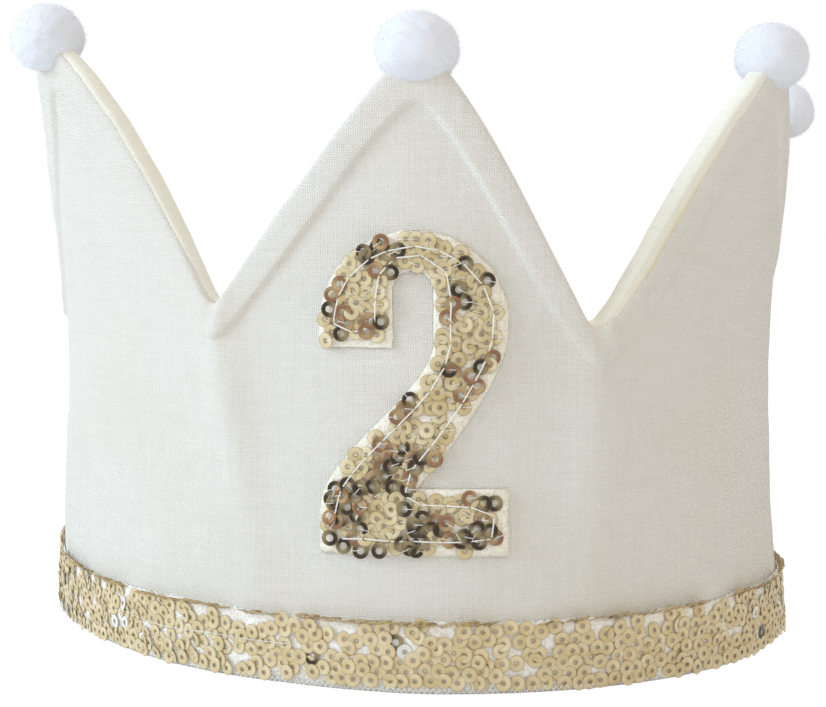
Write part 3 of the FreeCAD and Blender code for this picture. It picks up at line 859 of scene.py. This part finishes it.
fringe_arcs = np.arange(-34.0, 34.0, 0.5)
teeth = np.where(np.arange(len(fringe_arcs)) % 2 == 0, 0.22, 1.35)
teeth = teeth + 0.15 * ripple(47, 5.0, fringe_arcs)
net_fringe = ready(thread_along("net_fringe", fringe_arcs, teeth, SEQUIN_OUT), "net")

tack_arcs = np.arange(-66.0, -20.0, 3.6)
tack_heights = 7.6 + 0.7 * ripple(48, 26.0, tack_arcs)
band_thread = thread_along("band_running_thread", tack_arcs, tack_heights, 3.05)
ready(band_thread, "thread")

# %% [markdown]
# ## The pom-poms
# Each pom-pom is a soft ball of short white fibres, a little wider than it is tall because it
# is sewn down over its tip. A felted ball has a core that looks smooth and a fine fuzz on its
# rim. Hair particles would be lost in an export, so the fuzz is made of thin triangles.

# %% Pom-pom core and fuzz
POMPOM_WIDTH, POMPOM_TALL, POMPOM_DEEP = 15.0, 13.4, 14.0
POMPOM_LIFT, FUZZ_COUNT = 0.3, 5200
FUZZ_WIDTH, FUZZ_SHORT, FUZZ_LONG, FUZZ_ROOT = 0.07, 0.35, 0.95, 0.1


def pompom_frame(index):
    """Centre and directions of a pom-pom, in metres."""
    arc = TIPS[index : index + 1]
    height = edge_height(arc) + POMPOM_LIFT
    return [part[0] for part in frames_at(arc, height)]


def pompom_core(index):
    """A soft ball pressed a little flat over its tip, with shallow dimples."""
    nothing_selected()
    bpy.ops.mesh.primitive_ico_sphere_add(subdivisions=6, radius=1.0)
    points, faces = shape_of(bpy.context.object)
    centre, along, up, outward = pompom_frame(index)
    spread = 1 - 0.10 * np.clip(-points[:, 2] - 0.35, 0, 1)
    uneven = 1 + 0.022 * ripple(80 + index, 1.1, points[:, 0] + points[:, 1], points[:, 2])
    uneven += 0.010 * ripple(90 + index, 0.4, points[:, 0] - points[:, 1], points[:, 2])
    half_sizes = np.array([POMPOM_WIDTH, POMPOM_DEEP, POMPOM_TALL]) / 2 * MM
    local = points * half_sizes * (spread * uneven)[:, None]
    placed = centre + local @ np.array([along, outward, up])
    return finish_mesh("pompom_core_" + POINTS[index], placed, faces)


def pompom_fuzz(index, core):
    """Fine fibres that stand and lean on the ball."""
    dice = np.random.default_rng(100 + index)
    count = len(core.data.vertices)
    roots = np.zeros(count * 3, np.float32)
    core.data.vertices.foreach_get("co", roots)
    roots = roots.reshape(-1, 3)[dice.integers(0, count, FUZZ_COUNT)]
    normals = roots - pompom_frame(index)[0]
    normals /= np.linalg.norm(normals, axis=1, keepdims=True)
    lean = dice.normal(0, 0.75, (FUZZ_COUNT, 3))
    way = normals + lean
    way /= np.linalg.norm(way, axis=1, keepdims=True)
    side = np.cross(way, dice.normal(0, 1, (FUZZ_COUNT, 3)))
    side /= np.linalg.norm(side, axis=1, keepdims=True)
    length = dice.uniform(FUZZ_SHORT, FUZZ_LONG, (FUZZ_COUNT, 1)) * MM
    width = FUZZ_WIDTH / 2 * MM
    base = roots - normals * FUZZ_ROOT * MM
    points = np.stack([base - side * width, base + side * width, base + way * length], axis=1)
    faces = [(3 * i, 3 * i + 1, 3 * i + 2) for i in range(FUZZ_COUNT)]
    return finish_mesh("pompom_fuzz_" + POINTS[index], points, faces)


pompom_pieces = []
for index, point in enumerate(POINTS):
    core = ready(pompom_core(index), "pompom", "pompom_" + point)
    fuzz = ready(pompom_fuzz(index, core), "pompom")
    pompom_pieces += [core, fuzz]

# %% [markdown]
# ## The elastic at the back
# A flat white elastic closes the ring. It is woven with ribs along its length, runs straighter
# than the ring and is tucked between the two cloths at both ends.

# %% Elastic band
ELASTIC_THICK, ELASTIC_FLATNESS = 1.6, 8.0


def elastic_points(station, height, out):
    """Points on the elastic: tucked at both ends, and flatter across the back."""
    start, end = turn_at(np.array(PANEL_END)), turn_at(np.array(PANEL_START)) + 2 * math.pi
    turn = start + (end - start) * station
    shift = wall_shift(np.array(PANEL_END), height) * (1 - station)
    shift = shift + wall_shift(np.array(PANEL_START), height) * station
    reach = ring_at(turn) + shift - ELASTIC_FLATNESS * np.sin(math.pi * station) + out
    spots = np.stack([reach * np.sin(turn), -reach * np.cos(turn), height + 0 * turn], axis=-1)
    return (spots + AXIS) * MM


def elastic_strip():
    """A closed ribbed strip from tuck to tuck."""
    tuck = np.linspace(-ELASTIC_TUCK + 0.6, -0.4, 8)
    across = np.linspace(0.0, 1.0, 90)
    ribs = np.linspace(0.0, 1.0, 45)
    heights = ELASTIC_RISE + ribs * ELASTIC_WIDTH
    thick = ELASTIC_THICK / 2 * (0.86 + 0.08 * np.cos(ribs * 2 * math.pi * 11))
    thick[[0, -1]] = 0.3
    section = list(zip(heights, thick)) + list(zip(heights, -thick))[::-1]
    points, flat = [], []
    for height, out in section:
        row = [place(PANEL_END + tuck, height, out), elastic_points(across, height, out)]
        row.append(place(PANEL_START - tuck[::-1], height, out))
        row = np.concatenate(row)
        run = np.concatenate([[0], np.cumsum(np.linalg.norm(np.diff(row, axis=0), axis=1))]) / MM
        points.append(row)
        flat.append(np.stack([run, np.full(len(run), height)], axis=1))
    points, flat = np.stack(points, axis=1), np.stack(flat, axis=1)
    faces = swept_faces(points.shape[0], points.shape[1])
    made = point_outwards(finish_mesh("elastic_strap", points, faces, flat.reshape(-1, 2)))
    return made, float(flat[:, :, 0].max())


elastic, elastic_length = elastic_strip()
ready(elastic, "elastic", "back_elastic")
print("elastic", round(elastic_length), "mm long")

# %% [markdown]
# ## Finishes
# All cloths here are woven or knitted from white and cream yarns. Three effects come up again
# and again, so each is a node group: a plain weave on the flat pattern, a slow drift of
# colour, and a fine fibre speckle. Each material places the groups with its own values.

# %% Helpers for nodes


def put(tree, kind, inputs=None, **settings):
    """Adds a shader node, gives it its settings, and links or sets its inputs."""
    made = tree.nodes.new("ShaderNode" + kind)
    for key, value in settings.items():
        setattr(made, key, value)
    for key, value in (inputs or {}).items():
        if isinstance(value, bpy.types.NodeSocket):
            tree.links.new(value, made.inputs[key])
        else:
            made.inputs[key].default_value = value
    return made


def sums(tree, operation, *values):
    """A Math node's result."""
    return put(tree, "Math", dict(enumerate(values)), operation=operation).outputs[0]


def feed(tree, target, **results):
    """Links results to a node's inputs, whose names have _ for a space."""
    for key, value in results.items():
        tree.links.new(value, target.inputs[key.replace("_", " ")])


def new_group(name, inputs, outputs):
    """An empty node group, its input values and its end; sockets are named for each kind."""
    tree = bpy.data.node_groups.new(name, "ShaderNodeTree")
    for way, sockets in (("INPUT", inputs), ("OUTPUT", outputs)):
        for kind, keys in sockets.items():
            for key in keys:
                tree.interface.new_socket(key, in_out=way, socket_type="NodeSocket" + kind)
    values = tree.nodes.new("NodeGroupInput").outputs[:-1]
    return tree, values, tree.nodes.new("NodeGroupOutput")


def vectors(tree, operation, *values):
    """A Vector Math node's result."""
    made = put(tree, "VectorMath", dict(enumerate(values)), operation=operation)
    return made.outputs[0]


def ramp(tree, value, to_min=0.0, to_max=1.0, from_min=0.0, from_max=1.0):
    """A Map Range node's result."""
    ends = {"From Min": from_min, "From Max": from_max, "To Min": to_min, "To Max": to_max}
    return put(tree, "MapRange", {"Value": value, **ends}).outputs[0]


def noise(tree, vector, scale, detail=2.0, stretch=None, output="Fac"):
    """Noise between 0 and 1, with its vector stretched first."""
    vector = vectors(tree, "MULTIPLY", vector, stretch) if stretch else vector
    inputs = {"Vector": vector, "Scale": scale, "Detail": detail}
    return put(tree, "TexNoise", inputs).outputs[output]


def mixed(tree, factor, a, b):
    """A colour mix."""
    inputs = {"Factor": factor, "A": a, "B": b}
    return put(tree, "Mix", inputs, data_type="RGBA").outputs["Result"]


# %% Plain weave group
def weave_group():
    """Threads over and under each other, with uneven yarn."""
    tree, (flat, pitch, slub), end = new_group(
        "plain_weave", {"Vector": ["Flat"], "Float": ["Pitch", "Slub"]},
        {"Float": ["Height", "Thread", "Slubs"]},
    )
    wobble = noise(tree, flat, 0.35, 3.0, output="Color")
    shifted = vectors(tree, "MULTIPLY_ADD", wobble, (0.55, 0.55, 0.0), flat)
    spread = put(tree, "CombineXYZ", {0: pitch, 1: pitch, 2: 1.0}).outputs[0]
    cells = vectors(tree, "DIVIDE", shifted, spread)
    parts = put(tree, "SeparateXYZ", {0: cells})
    rounds = []
    for axis in (0, 1):
        bend = sums(tree, "SINE", sums(tree, "MULTIPLY", parts.outputs[axis], math.pi))
        rounds.append(sums(tree, "ABSOLUTE", bend))
    grid = put(tree, "CombineXYZ", {0: parts.outputs[0], 1: parts.outputs[1], 2: 0.5})
    checker = {"Vector": grid.outputs[0], "Scale": 1.0}
    over = put(tree, "TexChecker", checker).outputs["Fac"]
    warp, weft = (
        sums(tree, "MULTIPLY", one, sums(tree, "MULTIPLY_ADD", other, 0.45, 0.55))
        for one, other in (rounds, rounds[::-1])
    )
    upright, level = (
        noise(tree, flat, 1.0, 2.0, stretch) for stretch in ((1.9, 0.06, 1.0), (0.06, 1.9, 1.0))
    )
    uneven = sums(tree, "MULTIPLY", sums(tree, "ADD", upright, level), slub)
    inputs = {"Factor": over, "A": warp, "B": weft}
    height = put(tree, "Mix", inputs, data_type="FLOAT").outputs["Result"]
    feed(tree, end, Height=sums(tree, "ADD", height, uneven), Thread=height, Slubs=uneven)
    return tree


def drift_group():
    """A slow drift between three colours, with fine fibre specks."""
    tree, (spot, base, warm, dark, patch, speck, specks), end = new_group(
        "cloth_tone",
        {
            "Vector": ["Place"],
            "Color": ["Base", "Warm", "Dark"],
            "Float": ["Patch", "Speck", "Specks"],
        },
        {"Color": ["Color"], "Float": ["Speckle"]},
    )
    soft = ramp(tree, noise(tree, spot, patch, 3.0), from_min=0.35, from_max=0.65)
    fine = noise(tree, spot, speck, 4.0)
    sharp = ramp(tree, fine, from_min=0.5, from_max=0.75)
    amount = sums(tree, "MULTIPLY", sharp, specks)
    warmer = mixed(tree, soft, base, warm)
    feed(tree, end, Color=mixed(tree, amount, warmer, dark), Speckle=fine)
    return tree


weave, drift = weave_group(), drift_group()
print("groups:", [g.name for g in bpy.data.node_groups])

# %% [markdown]
# A material is started the same way each time: a Principled shader whose plain values are set
# on its own sockets, and a place to read the pattern from. Cloths read their flat pattern in
# millimetres. Round pieces read Object coordinates, scaled up to millimetres.

# %% Start a material


def rgb(red, green, blue):
    """A colour as it is seen on a screen, from 0 to 255, made linear."""
    shares = [c / 255 for c in (red, green, blue)]
    linear = (c / 12.92 if c < 0.04045 else ((c + 0.055) / 1.055) ** 2.4 for c in shares)
    return (*linear, 1.0)


def new_material(name, **plain):
    """A material with its Principled shader; plain values go on its own sockets."""
    made = bpy.data.materials.new(name)
    made.use_nodes = True
    tree = made.node_tree
    shader = tree.nodes["Principled BSDF"]
    for key, value in plain.items():
        shader.inputs[key.replace("_", " ")].default_value = value
    return made, tree, shader


def flat_place(tree):
    """The flat pattern, in millimetres."""
    return put(tree, "UVMap", uv_map="flat").outputs[0]


def room_place(tree):
    """Object coordinates, in millimetres."""
    spot = put(tree, "TexCoord").outputs["Object"]
    return vectors(tree, "MULTIPLY", spot, (1 / MM, 1 / MM, 1 / MM))


def named(tree, key):
    """A named tone of the mesh."""
    return put(tree, "Attribute", attribute_name=key).outputs["Fac"]


def bumped(tree, height, strength, distance):
    """A normal bumped by a height, with its distance in millimetres."""
    inputs = {"Height": height, "Strength": strength, "Distance": distance * MM}
    return put(tree, "Bump", inputs).outputs[0]


def coat(material, *pieces):
    """Gives pieces a material."""
    for piece in pieces:
        piece.data.materials.append(material)


def place_group(tree, group, **inputs):
    """A node group in a material, with its values."""
    return put(tree, "Group", inputs, node_tree=group)


# %% Woven cloths: linen, lining and elastic
def woven(name, base, warm, dark, pitch, slub, depth, crevice_shade_colour=None, **plain):
    """A woven cloth that reads its flat pattern, with painted shade as a tint in its seam crevice.
    """
    made, tree, shader = new_material(name, **plain)
    flat = flat_place(tree)
    threads = place_group(tree, weave, Flat=flat, Pitch=pitch, Slub=slub)
    tones = {"Base": base, "Warm": warm, "Dark": dark, "Patch": 0.035, "Speck": 2.4, "Specks": 0.25}
    tone = place_group(tree, drift, Place=flat, **tones)
    gap = ramp(tree, threads.outputs["Thread"], 0.5, 0.0, from_max=0.55)
    slubs = ramp(tree, threads.outputs["Slubs"], 0.0, 0.28, slub * 0.8, slub * 1.35)
    colour = mixed(tree, gap, tone.outputs["Color"], dark)
    colour = mixed(tree, slubs, colour, dark)
    # painted shade: a yellowish tint where the seam attribute marks the crevice
    if crevice_shade_colour:
        colour = mixed(tree, named(tree, "seam"), colour, crevice_shade_colour)
    normal = bumped(tree, threads.outputs["Height"], 0.8, depth)
    feed(tree, shader, Base_Color=colour, Normal=normal)
    return made


coat(woven(
    "linen", rgb(240, 238, 233), rgb(237, 234, 226), rgb(217, 212, 200),
    0.42, 0.25, 0.16, Roughness=0.92, Sheen_Weight=0.1,
), shell)
coat(woven(
    "cream_cotton", rgb(247, 246, 237), rgb(245, 243, 230), rgb(230, 226, 206),
    # the yellowish colour here is the painted shade of the seam crevice
    0.34, 0.3, 0.05, rgb(226, 214, 150), Roughness=0.9, Sheen_Weight=0.1,
), lining)
coat(woven(
    "elastic_webbing", rgb(236, 236, 234), rgb(230, 230, 226), rgb(176, 174, 168),
    0.62, 0.2, 0.14, Roughness=0.7, Sheen_Weight=0.1,
), elastic)

# %% Knitted net, wadding, pom-poms and thread
def knitted(name, base, dark, depth, scale=1.2):
    """A knitted net: small open cells between threads."""
    made, tree, shader = new_material(name, Roughness=0.85, Sheen_Weight=0.2)
    flat = flat_place(tree)
    inputs = {"Vector": flat, "Scale": scale, "Randomness": 0.55}
    cells = put(tree, "TexVoronoi", inputs, feature="DISTANCE_TO_EDGE")
    thread = ramp(tree, cells.outputs["Distance"], 1.0, 0.0, 0.02, 0.3)
    tones = {"Base": base, "Warm": base, "Dark": dark, "Patch": 0.03, "Speck": 1.6, "Specks": 0.3}
    tone = place_group(tree, drift, Place=flat, **tones)
    colour = mixed(tree, ramp(tree, thread, 0.6, 0.0), tone.outputs["Color"], dark)
    height = sums(tree, "MULTIPLY_ADD", noise(tree, flat, 3.0, 3.0), 0.4, thread)
    feed(tree, shader, Base_Color=colour, Normal=bumped(tree, height, 0.6, depth))
    return made


coat(knitted("white_net", rgb(252, 251, 248), rgb(218, 208, 184), 0.16), net_band)
coat(knitted("cream_net", rgb(251, 247, 235), rgb(222, 211, 184), 0.18), figure)


def fibrous(name, base, dark, scale, depth, **plain):
    """Loose or felted fibres that read Object coordinates."""
    made, tree, shader = new_material(name, **plain)
    tones = {"Base": base, "Warm": base, "Dark": dark, "Patch": 0.25, "Speck": scale, "Specks": 0.3}
    tone = place_group(tree, drift, Place=room_place(tree), **tones)
    normal = bumped(tree, tone.outputs["Speckle"], 0.7, depth)
    feed(tree, shader, Base_Color=tone.outputs["Color"], Normal=normal)
    return made


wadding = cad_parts["interlining"]
wadding.data.materials.clear()
coat(fibrous(
    "white_wadding", rgb(238, 238, 236), rgb(200, 200, 198), 0.8, 0.3, Roughness=1.0
), wadding)
coat(fibrous(
    "pompom_fibre", rgb(232, 235, 243), rgb(216, 219, 229), 1.8, 0.12,
    Roughness=1.0, Sheen_Weight=0.25, Sheen_Roughness=0.6,
), *pompom_pieces)
coat(
    fibrous("white_thread", rgb(244, 243, 238), rgb(205, 200, 188), 5.0, 0.08, Roughness=0.65),
    figure_stitching, elastic_stitching, sequin_threads, net_fringe, band_thread,
)

# %% [markdown]
# ## Sequin foil
# The foil is a matte champagne gold. Most sequins are pale; on some a copper tone, and on a few a
# nearly black bronze tone, is painted in as a dark reflection. Each has painted shade at its rim
# and round its hole, one side is painted lighter as a glint, and a few are painted white as
# glints. A group turns the sequin's own tone, its glint and the distance from its middle into
# that colour, with the shares set for each use.

# %% Sequin colour group
def sequin_group():
    """Colour of a sequin from its tone, its painted glint and the distance from its middle, with
    painted dark reflections and painted shade at rim and hole.
    """
    numbers = ["Tone", "Radius", "Glint", "Copper Reflection Share", "Bronze Reflection Share", "Bright Glint Share"]
    colours = ["Pale", "Light", "Copper Reflection", "Bronze Reflection", "Rim Shade Colour"]
    tree, values, end = new_group(
        "sequin_tone", {"Float": numbers, "Color": colours}, {"Color": ["Color"], "Float": ["Dark"]}
    )
    tone, radius, glint, copper_reflection_share, bronze_reflection_share, bright_glint = values[:6]
    pale, light, copper_reflection, bronze_reflection, rim_shade_colour = values[6:]
    # painted reflection: copper and bronze tones stand in for dark surroundings reflected in the
    # foil
    is_bronze_reflection = sums(tree, "LESS_THAN", tone, bronze_reflection_share)
    is_dark_reflection = sums(tree, "LESS_THAN", tone, sums(tree, "ADD", bronze_reflection_share, copper_reflection_share))
    vary = sums(tree, "FRACT", sums(tree, "MULTIPLY", tone, 37.0))
    # painted reflection: the glint lightens one side of each sequin, the dark ones too
    shine = ramp(tree, glint, from_min=-0.4)
    both = sums(tree, "MULTIPLY", sums(tree, "ADD", vary, shine), 0.5)
    lighter = mixed(tree, both, pale, light)
    dark = mixed(tree, is_bronze_reflection, copper_reflection, bronze_reflection)
    dark = mixed(tree, sums(tree, "MULTIPLY", shine, 0.35), dark, pale)
    colour = mixed(tree, is_dark_reflection, lighter, dark)
    # painted highlight: a few sequins are turned near white as glints
    is_bright_glint = sums(tree, "GREATER_THAN", tone, sums(tree, "SUBTRACT", 1.0, bright_glint))
    colour = mixed(tree, is_bright_glint, colour, (0.96, 0.96, 0.94, 1.0))
    # painted shade: each sequin is darker at its rim and round its hole
    rim = ramp(tree, radius, 0.0, 0.7, 1.36, 1.5)
    hole = ramp(tree, radius, 0.8, 0.0, 0.38, 0.62)
    edge = sums(tree, "MAXIMUM", rim, hole)
    feed(tree, end, Color=mixed(tree, edge, colour, rim_shade_colour), Dark=is_dark_reflection)
    return tree


foil_tone = sequin_group()


def foil(name, pale, light, rim, copper_reflection_share, bronze_reflection_share, bright_glint_share=0.0):
    """Matte sequin foil with painted rim shade and glints, and its own share of copper and bronze
    painted dark reflections.
    """
    made, tree, shader = new_material(name)
    values = {key.title(): named(tree, key) for key in ("tone", "radius", "glint")}
    values |= {
        "Pale": pale, "Light": light, "Rim Shade Colour": rim, "Copper Reflection Share": copper_reflection_share,
        "Bronze Reflection Share": bronze_reflection_share, "Bright Glint Share": bright_glint_share,
        "Copper Reflection": rgb(134, 98, 70), "Bronze Reflection": rgb(46, 36, 22),
    }
    tone = place_group(tree, foil_tone, **values)
    dark = tone.outputs["Dark"]
    feed(
        tree, shader, Base_Color=tone.outputs["Color"], Roughness=ramp(tree, dark, 0.42, 0.28),
        Metallic=ramp(tree, dark, 0.05, 0.35), Alpha=ramp(tree, dark, 0.7, 1.0),
    )
    return made


# the third colour of each foil is the painted shade at the rims and holes
coat(foil(
    "champagne_foil", rgb(228, 208, 160), rgb(244, 230, 194), rgb(160, 130, 80),
    # the last share is of sequins painted white as glints
    0.01, BAND_BRONZE_REFLECTION, 0.02,
), band_sequins)
# the sequins on edge get a darker copy of the band's foil, as painted shade
coat(foil(
    "champagne_foil_edge_shade", rgb(206, 180, 130), rgb(230, 210, 166), rgb(150, 120, 76), 0.0, 0.0
), edge_sequins)
coat(foil(
    "champagne_foil_dark_reflections", rgb(220, 200, 150), rgb(242, 230, 196), rgb(136, 106, 62),
    COPPER_REFLECTION_SHARE, BRONZE_REFLECTION_SHARE,
), number_sequins)

# %% [markdown]
# ## Floor, light and camera
# The crown stands on a white floor with a soft cool light from the left front and a dimmer
# warm one from the right. The floor looks white to the camera, and still takes the shadow.

# %% Floor and world


def seen_by(tree, *rays):
    """1 for the named kinds of rays, and 0 for the others."""
    path_kind, share = put(tree, "LightPath"), 0.0
    for ray in rays:
        share = sums(tree, "MAXIMUM", share, path_kind.outputs["Is " + ray + " Ray"])
    return share


def emptied(owner):
    """The node tree of a material or a world, with no nodes in it."""
    owner.use_nodes = True
    owner.node_tree.nodes.clear()
    return owner.node_tree


nothing_selected()
bpy.ops.mesh.primitive_plane_add(size=6.0)
floor = bpy.context.object
floor.name = "floor"
floor_paint = bpy.data.materials.new("white_floor")
tree = emptied(floor_paint)
diffuse = put(tree, "BsdfDiffuse", {"Color": (0.9, 0.9, 0.9, 1.0)})
glow = put(tree, "Emission", {"Color": (1.0, 1.0, 1.0, 1.0), "Strength": 1.25})
seen = sums(tree, "MULTIPLY", seen_by(tree, "Camera", "Glossy"), 0.75)
both = put(tree, "MixShader", {0: seen, 1: diffuse.outputs[0], 2: glow.outputs[0]})
put(tree, "OutputMaterial", {"Surface": both.outputs[0]})
coat(floor_paint, floor)

world = bpy.data.worlds.new("studio")
bpy.context.scene.world = world
tree = emptied(world)
seen = seen_by(tree, "Camera", "Glossy", "Transmission")
room = put(tree, "Background", {"Color": (1.0, 0.985, 0.955, 1.0), "Strength": 0.57})
white = put(tree, "Background", {"Color": (1.0, 1.0, 1.0, 1.0), "Strength": 1.0})
both = put(tree, "MixShader", {0: seen, 1: room.outputs[0], 2: white.outputs[0]})
put(tree, "OutputWorld", {"Surface": both.outputs[0]})

# %% Lamps


def lamp(name, spot, size, watts, colour, aim=(0.0, 0.0, 0.06)):
    """A square soft light aimed at the crown."""
    data = bpy.data.lights.new(name, "AREA")
    data.size, data.energy, data.color = size, watts, colour
    made = bpy.data.objects.new(name, data)
    bpy.context.scene.collection.objects.link(made)
    made.location = spot
    made.rotation_euler = (Vector(aim) - Vector(spot)).to_track_quat("-Z", "Y").to_euler()
    return made


lamp("window_light", (-1.6, -0.5, 0.7), 0.9, 20.0, (0.70, 0.85, 1.0))
lamp("room_light", (1.2, -1.1, 0.7), 1.0, 2.8, (1.0, 0.76, 0.5))
lamp("front_light", (-0.2, -1.8, 0.9), 1.2, 4.0, (1.0, 0.97, 0.92))
lamp("top_light", (0.1, 0.5, 1.5), 1.2, 5.0, (1.0, 0.98, 0.94))

# %% Camera at the photograph's angle
CAMERA_BACK, CAMERA_HEIGHT, CAMERA_PITCH, CAMERA_LENS = 360.0, 82.0, 4.15, 67.9
camera_data = bpy.data.cameras.new("camera")
camera_data.sensor_fit, camera_data.sensor_width = "HORIZONTAL", 36.0
camera_data.lens = CAMERA_LENS
camera_data.clip_start = 0.01
camera = bpy.data.objects.new("camera", camera_data)
bpy.context.scene.collection.objects.link(camera)
camera.location = (np.array([0.0, -CAMERA_BACK, CAMERA_HEIGHT]) + AXIS) * MM
camera.rotation_euler = (math.radians(90.0 - CAMERA_PITCH), 0.0, 0.0)
bpy.context.scene.camera = camera
bpy.context.scene.view_settings.view_transform = "Standard"
